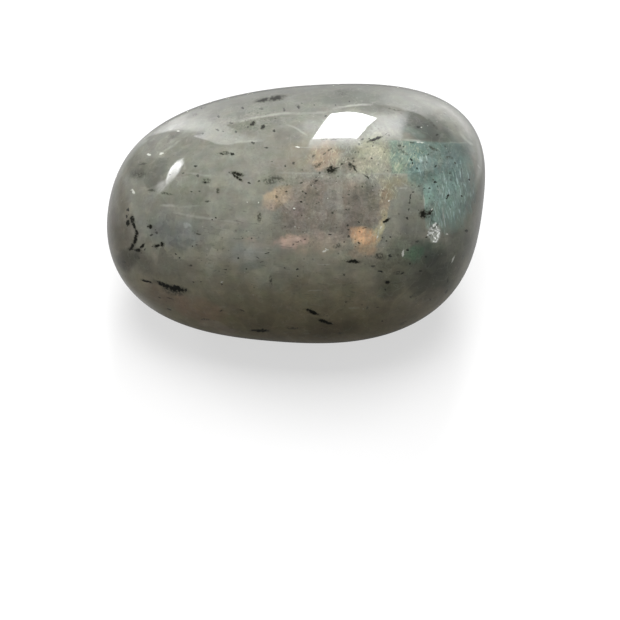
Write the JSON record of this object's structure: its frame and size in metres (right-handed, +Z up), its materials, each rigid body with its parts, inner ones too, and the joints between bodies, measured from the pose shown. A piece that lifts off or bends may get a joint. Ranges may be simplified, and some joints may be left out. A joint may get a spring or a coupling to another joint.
{
  "type": "polished labradorite stone",
  "caption": "Tumbled and polished labradorite pebble, a rounded grey-green stone with dark specks and a teal, gold and pink sheen, resting on its flatter side.",
  "frame": {"origin": "centre of the bounding box in X and Y, at the level patch the stone rests on", "axes": "+X along the longest extent towards the blunter end, +Z up and the shortest extent, the pictured side faces -Y and up"},
  "size_m": [0.0256, 0.02, 0.0151],
  "materials": {
    "polished_stone": "polished"
  },
  "bodies": {
    "root": {"labradorite_stone": "polished_stone"}
  },
  "joints": []
}
